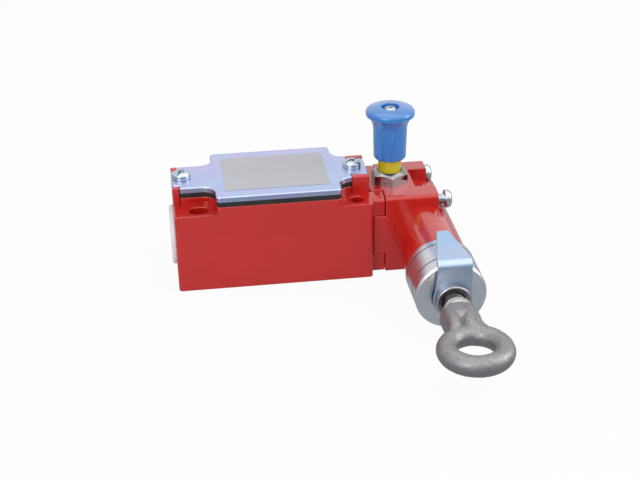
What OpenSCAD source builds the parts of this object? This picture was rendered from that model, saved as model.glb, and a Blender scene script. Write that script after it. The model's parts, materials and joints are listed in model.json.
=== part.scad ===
// Latching rope pull switch for machine safety.
// Frame: origin at the centre of the four fixing holes on the back face, +X along the body towards the
// actuating head, +Z out of the back face towards the cover. The rope pulls towards -Y.

/* [Fixing pattern] */
// Distance between the slotted pair and the round pair of fixing holes
hole_pitch_x = 60; // [59:0.5:61]
// Distance between the two holes of a pair
hole_pitch_y = 30; // [29:0.5:31]
// Diameter of the round fixing holes and width of the slots
hole_d = 5.3; // [5:0.1:5.6]
// End-to-end length of each slot
slot_len = 7.3; // [6.5:0.1:8]

/* [Body] */
// Length of the body from the cable end to the head end
body_len = 75.1; // [74:0.1:76]
// Distance from the cable end of the body to the centre of the fixing pattern
cable_end = 39.4; // [38.8:0.1:40]
// Width of the body
body_w = 40; // [39:0.5:42]
// Height of the ledges around the fixing holes
ledge_z = 31.8; // [31:0.1:33]
// Height of the raised rim that carries the cover
rim_h = 3; // [2:0.1:4]
// Height of the corner posts above the ledges
post_h = 7.2; // [7:0.1:9]
// Wall and floor thickness of the body
body_wall = 3.1; // [2.5:0.1:3.5]

/* [Cover] */
// Thickness of the cover gasket
gasket_t = 2; // [1.5:0.1:2.5]
// Thickness of the cover plate
cover_t = 2.1; // [1.5:0.1:2.5]
// Length of the full-width part of the cover
cover_wide = 47.2; // [46:0.2:48]
// Half width of the narrow ends of the cover
cover_neck = 9.8; // [9.2:0.1:10.2]
// Radius of the concave corners between the wide part and the narrow ends
cover_fillet = 5; // [3:0.5:5.5]
// Length and width of the rating label
label_size = [39.8, 29]; // [20:1:42]

/* [Cable entry] */
// Radius of the core of the M20 cable entry
entry_r = 9.2; // [9:0.05:9.4]
// Height of the cable entry above the back face
entry_z = 14.9; // [14:0.1:15.5]
// Diameter of the flange of the entry plug
plug_d = 23; // [22:0.5:25]
// How far the flange of the entry plug stands out
plug_flange = 1.7; // [1.2:0.1:2.4]

/* [Head] */
// Side of the square head
head_side = 31.8; // [31.4:0.1:32]
// Length of the head block along the body
head_len = 24.6; // [24:0.1:25.5]
// Distance from the head axis to each head screw, across and along
screw_offset = 12; // [11.8:0.1:12.2]
// Side of the square lugs of the body that key into the head
lug_side = 7.6; // [7.2:0.1:8]
// Length of those lugs
lug_len = 5.2; // [4:0.1:6]
// Distance that the loosened head screw stands out
screw_backed_out = 3; // [0:0.5:4]

/* [Rope actuator] */
// Distance from the head end of the body to the spindle axis
spindle_from_body = 20.3; // [20:0.1:21]
// Outer radius of the cast barrel
barrel_r = 11.8; // [11.2:0.1:12]
// Distance from the body's centre plane to the end of the full barrel
barrel_reach = 46; // [45:0.2:48]
// Radius of the end collar
collar_r = 13; // [12.5:0.05:13.2]
// Length of the end collar
collar_len = 19.4; // [18:0.1:20]
// Radius of the spindle
spindle_r = 5; // [4.8:0.1:5.1]
// Full travel of the spindle when the rope is pulled
rope_travel = 12; // [6:0.5:12]
// Rise of the cam cone for each millimetre of travel
cam_slope = 0.25; // [0.15:0.01:0.25]
// Thickness of the pointer plate
pointer_t = 1.6; // [1.2:0.1:1.8]

/* [Rope eye] */
// Radius of the centre line of the ring
eye_ring_r = 9.65; // [9:0.05:11]
// Radius of the round bar of the ring
eye_bar_r = 3.75; // [3:0.05:4]
// Distance from the body's centre plane to the centre of the ring
eye_reach = 101.6; // [100:0.2:104]

/* [Reset knob] */
// Distance from the head end of the body to the knob axis
knob_from_body = 9.6; // [9.4:0.1:10]
// Height of the lower edge of the knob above the back face
knob_base_z = 41.8; // [41:0.1:44]
// Radius of the grip flange of the knob
knob_grip_r = 9.4; // [9:0.1:10]
// Distance across the flats of the reset bush
bush_flats = 13; // [12.5:0.5:14]

/* [Hidden] */
$fn = 64;
body_x0 = -cable_end;
body_x1 = body_len - cable_end;
rim_z = ledge_z + rim_h;
gasket_z = rim_z + gasket_t;
cover_z = gasket_z + cover_t;
post_z = ledge_z + post_h;
cover_x0 = -cover_wide / 2 + 0.1;
cover_x1 = cover_wide / 2 + 0.1;
tongue_half = 7;
tongue_r = 1.6;
post_in = 7.3;
post_out = 10;
post_thin = 2.5;
post_thick = 6.6;
neck_x0 = body_x0 + post_thin + 0.3;
neck_x1 = body_x1 - post_thick - 0.3;
cavity_half_x = 20.5;
cavity_half_y = body_w / 2 - body_wall;
cavity_neck = 6.6;
cover_screws_x = [-35.5, 30.4];
cover_screw_r = 1.75;
cover_screw_tip_z = 27;

gap = 0.6;
axis_z = head_side / 2;
head_x0 = body_x1 + gap;
head_x1 = body_x1 + gap + head_len;
head_half = head_side / 2;
head_chamfer = 1.1;
lug_inset = 0.4;
boss_h = 0.8;
screw_pad_r = 4.5;
head_screw_r = 2;
head_screw_seat = head_x1 + boss_h;
head_screw_len = 27.2;
screw_sites = [for (y = [-1, 1], z = [-1, 1]) [y * screw_offset, z * screw_offset]];

spindle_x = body_x1 + spindle_from_body;
barrel_bore = 9;
barrel_neck_r = 10.5;
root_fillet = 1.5;
collar_y1 = -barrel_reach;
collar_y0 = collar_y1 - collar_len;
collar_wall = 5.4;
bore_end_y = 13;
pointer_y0 = collar_y0 - 0.8;
pointer_y1 = pointer_y0 - pointer_t;
pointer_z0 = axis_z + collar_r + 0.3;
pointer_tip_y = -43.5;
pointer_left = -5.6;
pointer_right = 6.8;
nut_flats = 13;
nut_h = 2.6;
stud_r = 4;
eye_base_y = -74.5;
eye_offset = 0.2;
stud_end_y = -82;
seat_y = -16.5;
seat_t = 2;
cam_r = 3.6;
cam_back_y = 12.7;

knob_x = body_x1 + knob_from_body;
plunger_r = 3;
ball_r = 1.6;
run_gap = 0.05;
contact_gap = 0.3;
plunger_travel = rope_travel * cam_slope;
ball_x = spindle_x - cam_r - (ball_r + contact_gap) * sqrt(1 + cam_slope * cam_slope);
plunger_x0 = 26.4;
guide_x0 = 27;
guide_x1 = 42;
guide_r = 5;
latch_r = 1;
rod_r = 2;
bush_z0 = 24.4;
bush_thread_r = 5.5;
bush_bore = 3.9;
bush_z1 = ledge_z + 4.9;
sleeve_r = 4.5;
sleeve_top = 50;
knob_seat = 19;

block_x0 = -13;
block_x1 = 19.5;
block_half = 16.2;
block_floor = 10;
block_top = 21;
carrier_half = 3;
nc_x = 2;
no_x = 11;
rivet_t = 0.5;
bridge_t = 0.8;
bridge_half = 7.2;
strip_t = 0.8;
window_len = 4.3;
terminal_y = 11.2;
terminals_x = [-4, 11.6];
block_screw_sites = [[-10.6, 10.6], [17.1, -10.6]];
earth_x = -25;

// Helpers -------------------------------------------------------------------------------------------

// Rectangle from corner a to corner b with round corners
module rounded_rect(a, b, r) {
    size = b - a;
    translate(a + [0, r]) square(size - [0, 2 * r]);
    translate(a + [r, 0]) square(size - [2 * r, 0]);
    for (x = [a[0] + r, b[0] - r], y = [a[1] + r, b[1] - r]) translate([x, y]) circle(r);
}

// Concave corner: fills the corner at the origin, towards +X and +Y, with radius r
module corner_fill(r) {
    difference() {
        square(r);
        translate([r, r]) circle(r);
    }
}

// Turns children about an axis that runs along X through [y, z], starting at x
module along_x(x, y, z) {
    translate([x, y, z]) rotate([0, 90, 0]) children();
}

// Puts children's +Z along -Y, starting at y, on the spindle axis
module along_spindle(y) {
    translate([spindle_x, y, axis_z]) rotate([90, 0, 0]) children();
}

// Flat ring from z = 0 up
module ring(outer, inner, h) {
    difference() {
        cylinder(r = outer, h = h);
        translate([0, 0, -1]) cylinder(r = inner, h = h + 2);
    }
}

// Hexagon bar that stands on z = 0, turned to a crowned profile at the top
module crowned_hex(flats, profile) {
    intersection() {
        cylinder(r = flats / sqrt(3), h = 20, $fn = 6);
        rotate_extrude() polygon(profile);
    }
}

// Pan head screw, head upwards from z = 0 and shank below, with a cross recess and a slot
module pan_screw(head_r, head_h, shank_r, shank_len) {
    edge = head_h * 0.45;
    difference() {
        rotate_extrude() polygon([
            [0, 0], [head_r, 0], [head_r, edge], [head_r * 0.82, head_h * 0.85],
            [head_r * 0.45, head_h], [0, head_h]
        ]);
        for (a = [0, 90]) rotate(a)
            translate([-head_r * 0.42, -head_r * 0.1, head_h * 0.4])
                cube([head_r * 0.84, head_r * 0.2, head_h]);
    }
    translate([0, 0, -shank_len]) cylinder(r = shank_r, h = shank_len);
}

// Points of one ring of a coil's wire
function coil_ring(mean_r, wire_r, angle, z, sides) = [
    for (k = [0 : sides - 1]) let (t = 360 * k / sides, r = mean_r + wire_r * cos(t))
        [r * cos(angle), r * sin(angle), z + wire_r * sin(t)]
];

// Coil spring that stands on z = 0
module coil(mean_r, wire_r, length, turns, steps = 14, sides = 6) {
    n = round(turns * steps);
    rise = length - 2 * wire_r;
    points = [for (i = [0 : n]) each coil_ring(mean_r, wire_r, 360 * i / steps, wire_r + rise * i / n, sides)];
    sides_faces = [for (i = [0 : n - 1], k = [0 : sides - 1])
        let (a = i * sides + k, b = i * sides + (k + 1) % sides)
            [a, a + sides, b + sides, b]];
    start = [for (k = [0 : sides - 1]) k];
    end = [for (k = [sides - 1 : -1 : 0]) n * sides + k];
    polyhedron(points, concat(sides_faces, [start, end]));
}

// Body and cover ------------------------------------------------------------------------------------

// Plan of the cover: a wide middle, narrow ends between the posts, concave corners
module cover_plan(grow = 0) {
    half = body_w / 2 + grow;
    neck = cover_neck + grow;
    fillet = cover_fillet - grow;
    rounded_rect([cover_x0 - grow, -half], [cover_x1 + grow, half], 1.6);
    translate([neck_x0 - grow, -neck]) square([neck_x1 - neck_x0 + 2 * grow, 2 * neck]);
    rounded_rect([body_x0 - min(grow, 0), -tongue_half - grow],
        [body_x1 + min(grow, 0), tongue_half + grow], tongue_r);
    for (s = [-1, 1]) scale([1, s]) {
        translate([cover_x1 + grow, neck]) corner_fill(fillet);
        translate([cover_x0 - grow, neck]) mirror([1, 0]) corner_fill(fillet);
    }
}

module cavity_plan() {
    rounded_rect([-cavity_half_x, -cavity_half_y], [cavity_half_x, cavity_half_y], 2);
    rounded_rect([-30, -cavity_neck], [26, cavity_neck], 1.5);
}

// Square of the head seen along X, chamfered along the upper edge of the rope side
module head_square(half) {
    polygon([
        [-half, -half], [half, -half], [half, half], [head_chamfer - half, half], [-half, half - head_chamfer]
    ]);
}

// Pad around each head screw, filled out to the corner of the head
module screw_pad() {
    reach = head_half - screw_offset;
    circle(screw_pad_r);
    translate([0, -screw_pad_r]) square([reach, screw_pad_r + reach]);
    translate([-screw_pad_r, 0]) square([screw_pad_r + reach, reach]);
}

// The four corner squares of the head's outline, where the body's lugs stand
module lug_squares(side) {
    for (y = [-1, 1], z = [-1, 1]) scale([y, z])
        translate([head_half - side, head_half - side]) square(side + 1);
}

// Extrudes a plan given as [y, z] about the head axis, from x0 to x1
module extrude_x(x0, x1) {
    translate([x0, 0, axis_z]) rotate([90, 0, 90]) linear_extrude(x1 - x0) children();
}

module fixing_holes() {
    for (y = [-1, 1]) {
        translate([hole_pitch_x / 2, y * hole_pitch_y / 2, -1]) cylinder(d = hole_d, h = post_z);
        for (e = [-1, 1]) translate([-hole_pitch_x / 2 + e * (slot_len - hole_d) / 2, y * hole_pitch_y / 2, -1])
            cylinder(d = hole_d, h = post_z);
        translate([-(hole_pitch_x + slot_len - hole_d) / 2, (y * hole_pitch_y - hole_d) / 2, -1])
            cube([slot_len - hole_d, hole_d, post_z]);
    }
}

module corner_posts() {
    sites = [[body_x0, body_x0 + post_thin], [body_x1 - post_thick, body_x1]];
    for (s = sites, y = [-1, 1]) translate([s[0], 0, 0]) scale([1, y, 1])
        rotate([90, 0, 90]) linear_extrude(s[1] - s[0]) {
            translate([post_in, ledge_z - 1]) square([post_out - post_in, post_h]);
            rounded_rect([post_in, ledge_z], [post_out, post_z], 0.8);
        }
}

module body_housing() color("firebrick") difference() {
    union() {
        linear_extrude(ledge_z)
            rounded_rect([body_x0, -body_w / 2], [body_x1, body_w / 2], 1.2);
        translate([0, 0, ledge_z - 1]) linear_extrude(rim_h + 1) cover_plan();
        corner_posts();
        extrude_x(body_x1 - 1, body_x1 + lug_len) intersection() {
            head_square(head_half - lug_inset);
            lug_squares(lug_side);
        }
    }
    translate([0, 0, body_wall]) linear_extrude(post_z) cavity_plan();
    fixing_holes();
    along_x(body_x0 - 1, 0, entry_z) cylinder(r = entry_r, h = 12);
    along_x(20, 0, axis_z) cylinder(r = guide_r, h = 20);
    for (x = cover_screws_x) translate([x, 0, cover_screw_tip_z]) cylinder(r = cover_screw_r, h = 20);
    for (s = screw_sites) along_x(body_x1 - 1.5, s[0], axis_z + s[1]) cylinder(r = head_screw_r, h = 20);
    for (s = block_screw_sites) translate([s[0], s[1], 1.2]) cylinder(r = 1.6, h = 5);
    translate([earth_x, 0, 1.2]) cylinder(r = 2, h = 5);
}

module cover_gasket() color("black") difference() {
    translate([0, 0, rim_z]) linear_extrude(gasket_t) cover_plan(-0.15);
    translate([0, 0, rim_z - 1]) linear_extrude(gasket_t + 2) cavity_plan();
    for (x = cover_screws_x) translate([x, 0, rim_z - 1]) cylinder(r = cover_screw_r, h = 5);
}

module cover_plate() color("lightsteelblue") difference() {
    union() {
        translate([0, 0, gasket_z]) linear_extrude(cover_t - 0.4) cover_plan();
        translate([0, 0, gasket_z]) linear_extrude(cover_t) cover_plan(-0.3);
    }
    for (x = cover_screws_x) translate([x, 0, gasket_z - 1]) cylinder(r = cover_screw_r, h = 5);
}

module rating_label() color("gainsboro")
    translate([0.2, 0, cover_z]) linear_extrude(0.15)
        rounded_rect(-label_size / 2, label_size / 2, 0.8);

module cover_screws() color("silver")
    for (x = cover_screws_x) translate([x, 0, cover_z])
        rotate(35) pan_screw(3.55, 2.7, cover_screw_r, cover_z - cover_screw_tip_z);

// Thin flange outside and a hollow threaded skirt inside the entry
module entry_plug() color("white") along_x(body_x0 - plug_flange, 0, entry_z) {
    difference() {
        union() {
            cylinder(r = plug_d / 2 - 0.5, h = 0.6);
            translate([0, 0, 0.5]) cylinder(r = plug_d / 2, h = plug_flange - 0.5);
            translate([0, 0, plug_flange - 0.1]) cylinder(r = entry_r, h = 8.1);
        }
        translate([0, 0, plug_flange]) cylinder(r = entry_r - 1.6, h = 10);
        translate([-7, -0.9, -1]) cube([14, 1.8, 1.7]);
    }
}

module earth_screw() color("gold")
    translate([earth_x, 0, body_wall + 0.9]) {
        pan_screw(3.4, 2.4, 2, 2.8);
        translate([0, 0, -0.9]) ring(4, 2, 0.9);
    }

// Contact block -------------------------------------------------------------------------------------

// Moulded base: floor, side walls that carry the terminals, end walls and barrier fins
module contact_block_base() color("dimgray") difference() {
    union() {
        translate([block_x0, -block_half, body_wall])
            cube([block_x1 - block_x0, 2 * block_half, block_top - body_wall]);
        for (y = [-1, 1]) scale([1, y, 1]) translate([4.9, 4.4, block_floor])
            cube([1.1, block_half - 4.4, 13.5]);
        for (x = [block_x0, block_x1 - 1.4], y = [-block_half, block_half - 3])
            translate([x, y, body_wall]) cube([1.4, 3, 20]);
    }
    translate([block_x0 + 1.5, -bridge_half - 0.6, block_floor])
        cube([4.9 - block_x0 - 1.5, 2 * bridge_half + 1.2, 20]);
    translate([6, -bridge_half - 0.6, block_floor]) cube([block_x1 - 8.5, 2 * bridge_half + 1.2, 20]);
    translate([0, -4.4, block_floor]) cube([10, 8.8, 20]);
    along_x(block_x1 - 4, 0, axis_z) cylinder(r = 3.3, h = 6);
    for (x = terminals_x, y = [-1, 1]) translate([x, y * terminal_y, 13]) cylinder(r = 1.6, h = 12);
    for (s = block_screw_sites) translate([s[0], s[1], 0]) cylinder(r = 1.6, h = 30);
}

module contact_block_screws() color("silver")
    for (s = block_screw_sites) translate([s[0], s[1], block_top])
        pan_screw(2.2, 1.8, 1.6, block_top - 1.3);

// One fixed contact: a flat terminal on the wall, a tab beside the bridge and a silver rivet
module fixed_contact(plate_x0, plate_x1, tab_x, rivet_side) {
    difference() {
        translate([plate_x0, 4.4, block_top]) cube([plate_x1 - plate_x0, 10.4, strip_t]);
        translate([(plate_x0 + plate_x1) / 2, terminal_y, block_top - 1]) cylinder(r = 1.6, h = 4);
    }
    translate([tab_x, 4.4, 13.9]) cube([strip_t, 2.8, block_top - 13.9 + 0.2]);
    along_x(rivet_side > 0 ? tab_x + strip_t : tab_x - rivet_t, 5.8, axis_z)
        cylinder(r = 1.1, h = rivet_t);
}

module fixed_contacts() color("goldenrod")
    for (y = [-1, 1]) scale([1, y, 1]) {
        nc_tab = nc_x + bridge_t + 0.3 + contact_gap + rivet_t;
        no_tab = no_x - 0.3 - contact_gap - plunger_travel - rivet_t - strip_t;
        fixed_contact(-8, 0, nc_tab, -1);
        translate([-0.5, 4.4, block_top]) cube([nc_tab + strip_t + 0.5, 2.8, strip_t]);
        fixed_contact(8.4, 14.8, no_tab, 1);
        translate([no_tab, 4.4, block_top]) cube([9 - no_tab, 2.8, strip_t]);
    }

module terminal_screws() color("silver")
    for (x = terminals_x, y = [-1, 1]) translate([x, y * terminal_y, block_top + strip_t])
        rotate(20) pan_screw(3, 2.2, 1.6, 8);

// Sliding bar with a window for each bridge and a round nose that meets the follower
module contact_carrier() color("ivory") {
    difference() {
        translate([-6, -carrier_half, axis_z - 3]) cube([22.5, 2 * carrier_half, 6]);
        for (x = [nc_x - window_len + bridge_t + 0.3, no_x - 0.1])
            translate([x, -4, axis_z - 2.3]) cube([window_len, 8, 4.6]);
    }
    along_x(16, 0, axis_z) cylinder(r = 2.8, h = plunger_x0 - 16);
}

module moving_contacts() color("darkgoldenrod")
    for (x = [nc_x, no_x]) {
        translate([x, -bridge_half, axis_z - 2]) cube([bridge_t, 2 * bridge_half, 4]);
        for (y = [-1, 1]) along_x(x == nc_x ? x + bridge_t : x - 0.3, y * 5.8, axis_z)
            cylinder(r = 1.1, h = 0.3);
    }

// Each bridge is pressed against its end of the window by a small coil
module bridge_springs() color("silver") {
    along_x(nc_x - window_len + bridge_t + 0.3, 0, axis_z)
        coil(1.4, 0.2, window_len - bridge_t - 0.3, 4, 12, 4);
    along_x(no_x + bridge_t, 0, axis_z) coil(1.4, 0.2, window_len - bridge_t - 0.1, 4, 12, 4);
}

module carrier_spring() color("silver")
    along_x(block_x0 + 1.5, 0, axis_z) coil(2.1, 0.25, 5.5, 5);

// Head ----------------------------------------------------------------------------------------------

module head_gasket() color("black") difference() {
    extrude_x(body_x1, head_x0) difference() {
        head_square(head_half - 1.6);
        lug_squares(lug_side + 0.2);
    }
    along_x(body_x1 - 1, 0, axis_z) cylinder(r = guide_r, h = 3);
}

// Relief in the top of the head, open towards the outer end, with the barrel showing in it
module head_pocket() {
    difference() {
        translate([spindle_x - 1.8, 0, axis_z]) linear_extrude(head_side) polygon([
            [0, -7.1], [4.8, -7.1], [7.2, -3], [20, -3], [20, 8.5], [0, 8.3]
        ]);
        along_spindle(head_half + 1) cylinder(r = barrel_r, h = head_side + 2);
    }
}

module barrel_solid() {
    along_spindle(head_half) cylinder(r = barrel_r, h = head_half + barrel_reach);
    along_spindle(-barrel_reach) cylinder(r = barrel_neck_r, h = 11);
    intersection() {
        along_spindle(head_half) rotate_extrude()
            translate([barrel_r - 0.01, 2 * head_half]) corner_fill(root_fillet);
        extrude_x(head_x0, head_x1) head_square(head_half - head_chamfer / 2);
    }
}

module head_housing() color("firebrick") difference() {
    union() {
        extrude_x(head_x0, head_x1) head_square(head_half);
        extrude_x(head_x1 - 1.5, head_screw_seat) intersection() {
            head_square(head_half);
            for (y = [-1, 1], z = [-1, 1]) scale([y, z]) translate([screw_offset, screw_offset]) screw_pad();
        }
        barrel_solid();
    }
    extrude_x(body_x1 - 1, body_x1 + lug_len + 0.2) lug_squares(lug_side + 0.15);
    head_pocket();
    for (s = screw_sites) {
        along_x(head_screw_seat, s[0], axis_z + s[1]) cylinder(r = 4.3, h = 20);
        along_x(body_x1, s[0], axis_z + s[1]) cylinder(r = 2.2, h = 40);
    }
    along_spindle(bore_end_y) cylinder(r = barrel_bore, h = bore_end_y + barrel_reach + 20);
    along_x(body_x1, 0, axis_z) cylinder(r = guide_r, h = guide_x1 - body_x1);
    along_x(guide_x1 - 1, 0, axis_z) cylinder(r = plunger_r + 0.3, h = spindle_x - guide_x1);
    translate([knob_x, 0, axis_z]) cylinder(r = latch_r + run_gap, h = 20);
    translate([knob_x, 0, bush_z0]) cylinder(r = bush_thread_r, h = 20);
}

// Four long screws; the upper one on the rope side stands loosened
module head_screws() color("silver")
    for (s = screw_sites) {
        out = s == [-screw_offset, screw_offset] ? screw_backed_out : 0;
        along_x(head_screw_seat + out, s[0], axis_z + s[1])
            rotate(25) pan_screw(3.5, 2.8, head_screw_r, head_screw_len);
    }

module follower_guide_bush() color("goldenrod")
    along_x(guide_x0, 0, axis_z) ring(guide_r, plunger_r + run_gap, guide_x1 - guide_x0);

// Round plunger with a latch groove; the reset rod drops into it when the cam has pushed it back
module cam_follower() color("silver") {
    groove_x = knob_x + plunger_travel - latch_r - 0.1;
    difference() {
        along_x(plunger_x0, 0, axis_z) cylinder(r = plunger_r, h = ball_x + 0.3 - plunger_x0);
        along_x(groove_x, 0, axis_z) ring(plunger_r + 1, 1.8, 2 * latch_r + 0.2);
        translate([ball_x, 0, axis_z]) sphere(r = ball_r);
    }
}

module follower_ball() color("silver") translate([ball_x, 0, axis_z]) sphere(r = ball_r);

// Reset button --------------------------------------------------------------------------------------

module reset_bush() color("darkgray") translate([knob_x, 0, 0]) difference() {
    union() {
        translate([0, 0, ledge_z]) rotate(30) crowned_hex(bush_flats, [
            [0, -1], [7.6, -1], [7.6, 3.3], [5.6, bush_z1 - ledge_z], [0, bush_z1 - ledge_z]
        ]);
        translate([0, 0, bush_z0]) cylinder(r = bush_thread_r, h = 8);
    }
    translate([0, 0, bush_z0 - 1]) cylinder(r = bush_bore, h = 10.8);
    translate([0, 0, bush_z0]) cylinder(r = rod_r + run_gap, h = 20);
    translate([0, 0, bush_z1 - 1.2]) cylinder(r = sleeve_r, h = 5);
}

// Yellow sleeve on the bush, which the knob's skirt slides over
module indicator_sleeve() color("gold")
    translate([knob_x, 0, bush_z1 - 1.2]) ring(sleeve_r, rod_r + 0.4, sleeve_top - bush_z1 + 1.2);

module reset_knob() color("royalblue") translate([knob_x, 0, knob_base_z]) difference() {
    rotate_extrude() {
        polygon([
            [0, 0], [5.4, 0], [6.1, 0.5], [6.3, 1.2], [6.6, 14.5], [8.7, 17.3],
            [8.7, 19.7], [7.2, 20.4], [5.4, 20.75], [3.45, 20.85], [0, 20.85]
        ]);
        translate([knob_grip_r - 1.1, 18.75]) circle(1.1);
    }
    translate([0, 0, -1]) cylinder(r = sleeve_r + 0.35, h = 10.3);
    translate([0, 0, 1]) cylinder(r = rod_r, h = 16.4);
    translate([0, 0, 10]) cylinder(r = 1.25, h = 20);
    translate([0, 0, knob_seat]) cylinder(r = 3.45, h = 5);
}

module knob_screw() color("silver")
    translate([knob_x, 0, knob_base_z + knob_seat]) pan_screw(2.4, 1.7, 1.25, 7);

module reset_rod() color("silver") translate([knob_x, 0, 0]) difference() {
    union() {
        translate([0, 0, axis_z + plunger_r + 0.3]) cylinder(r = latch_r, h = 6);
        translate([0, 0, bush_z0 + 0.2]) cylinder(r = 3.6, h = 1.4);
        translate([0, 0, bush_z0 + 0.2]) cylinder(r = rod_r, h = knob_base_z + 17.2 - bush_z0);
    }
    translate([0, 0, knob_base_z + 11]) cylinder(r = 1.25, h = 10);
}

module reset_spring() color("silver")
    translate([knob_x, 0, bush_z0 + 1.6]) coil(3.1, 0.3, 8.2, 4.5);

// Rope actuator -------------------------------------------------------------------------------------

// Cam cone at the back, plain shaft through the spring and the collar, threaded stud in front
module spindle() color("silver") {
    cone_end_r = cam_r + cam_slope * cam_back_y;
    along_spindle(0) rotate_extrude() polygon([
        [0, -cam_back_y], [cone_end_r, -cam_back_y], [cam_r, 0], [cam_r, 3], [spindle_r, 3.8],
        [spindle_r, 13.3], [4.6, 13.3], [4.6, 14.5], [spindle_r, 14.5],
        [spindle_r, -pointer_y0], [stud_r, -pointer_y0], [stud_r, -stud_end_y - 0.6],
        [stud_r - 0.6, -stud_end_y], [0, -stud_end_y]
    ]);
}

module spring_seat() color("silver") along_spindle(seat_y + seat_t) ring(8.7, spindle_r, seat_t);

module spindle_circlip() color("dimgray") along_spindle(-13.3) difference() {
    ring(6.4, 4.6, 1.2);
    translate([-1.2, 0, -1]) cube([2.4, 8, 4]);
}

module main_spring() color("silver")
    along_spindle(seat_y) coil(6.9, 0.85, -seat_y - collar_y0 - collar_wall - 1.5 + 2 * seat_y, 9.5, 16, 6);

// Turned collar screwed onto the barrel, with the two setting lines for the pointer
module end_collar() color("lightgray") along_spindle(collar_y1) difference() {
    rotate_extrude() polygon([
        [0, 0], [collar_r - 0.4, 0], [collar_r, 0.4], [collar_r, 3.3], [collar_r - 0.35, 3.5],
        [collar_r, 3.7], [collar_r, 13.2], [collar_r - 0.35, 13.4], [collar_r, 13.6],
        [collar_r, collar_len - 0.9], [collar_r - 0.9, collar_len], [0, collar_len]
    ]);
    translate([0, 0, -1]) cylinder(r = barrel_neck_r, h = 12.2);
    translate([0, 0, 10]) cylinder(r = barrel_bore, h = collar_len - collar_wall - 10);
    cylinder(r = 7, h = 30);
}

module spindle_bush() color("ivory")
    along_spindle(collar_y0 + collar_wall) difference() {
        union() {
            translate([0, 0, -1.5]) cylinder(r = barrel_bore, h = 1.5);
            translate([0, 0, -1]) cylinder(r = 7, h = collar_wall - 0.4);
        }
        translate([0, 0, -3]) cylinder(r = spindle_r + run_gap, h = 20);
    }

module wiper_seal() color("black")
    along_spindle(collar_y0 + 1.4) ring(7, spindle_r + run_gap, 1.4);

// Plan of the pointer's top leg: full width at the bend, narrow at the tip
module pointer_leg_plan(bend_y) {
    polygon([[pointer_left, bend_y], [pointer_right, bend_y], [3.2, pointer_tip_y], [-1.25, pointer_tip_y]]);
}

module tension_pointer() color("lightsteelblue") {
    bend_r = 1.2;
    bend_y = pointer_y0 + bend_r;
    bend_z = pointer_z0 - bend_r;
    translate([spindle_x, 0, pointer_z0]) linear_extrude(pointer_t) pointer_leg_plan(bend_y);
    translate([spindle_x + pointer_left, bend_y, bend_z]) rotate([0, 90, 0]) rotate([0, 0, 180])
        rotate_extrude(angle = 90) translate([bend_r, 0]) square([pointer_t, pointer_right - pointer_left]);
    along_spindle(pointer_y0) linear_extrude(pointer_t) difference() {
        union() {
            circle(7);
            polygon([[-6.7, 0], [6.9, 0], [pointer_right, bend_z - axis_z], [pointer_left, bend_z - axis_z]]);
        }
        circle(stud_r);
    }
}

module lock_nut() color("silver") along_spindle(pointer_y1) difference() {
    crowned_hex(nut_flats, [
        [0, -1], [7.6, -1], [7.6, nut_h - 1.2], [6.5, nut_h - 0.6], [5.5, nut_h], [0, nut_h]
    ]);
    translate([0, 0, -1]) cylinder(r = stud_r, h = 10);
}

// Side view of the eye's neck, from the machined face at the origin towards the ring
module neck_profile() {
    for (s = [-1, 1]) scale([1, s]) polygon([
        [0, -0.1], [0, 5.1], [-3.5, 5.5], [-7, 5.5], [-11, 4.9], [-14.5, 4.1], [-17.4, 3.6], [-17.4, -0.1]
    ]);
}

// Forged eye: round ring, a flattened neck with a valley on both faces and a machined, threaded end
module rope_eye() color("gray") difference() {
    union() {
        translate([spindle_x + eye_offset, -eye_reach, axis_z])
            rotate_extrude() translate([eye_ring_r, 0]) circle(eye_bar_r);
        intersection() {
            along_spindle(eye_base_y) rotate_extrude() polygon([
                [0, 0], [4.7, 0], [5, 0.4], [6.3, 3.6], [6.8, 6.3], [6.7, 9], [6.3, 11.5], [6.5, 14.5],
                [7.4, 17.4], [0, 17.4]
            ]);
            translate([spindle_x - 10, eye_base_y, axis_z]) rotate([90, 0, 90])
                linear_extrude(20) neck_profile();
        }
    }
    for (s = [-1, 1]) translate([spindle_x, eye_base_y - 3.5, axis_z + s * 7.4]) rotate([90 + s * 8, 0, 0])
        cylinder(r = 2.4, h = 12);
    along_spindle(eye_base_y + 1) cylinder(r = stud_r, h = eye_base_y - stud_end_y + 1);
}

body_housing();
cover_gasket();
cover_plate();
rating_label();
cover_screws();
entry_plug();
earth_screw();
contact_block_base();
contact_block_screws();
fixed_contacts();
terminal_screws();
contact_carrier();
moving_contacts();
bridge_springs();
carrier_spring();
head_gasket();
head_housing();
head_screws();
follower_guide_bush();
cam_follower();
follower_ball();
reset_bush();
indicator_sleeve();
reset_knob();
knob_screw();
reset_rod();
reset_spring();
spindle();
spring_seat();
spindle_circlip();
main_spring();
end_collar();
spindle_bush();
wiper_seal();
tension_pointer();
lock_nut();
rope_eye();
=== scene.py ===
"""Looks of a latching rope pull switch: red castings, plated cover, blue reset knob and a forged rope eye."""

import json
import math

import bmesh
import bpy
from mathutils import Matrix, Quaternion, Vector, geometry, noise


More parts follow.
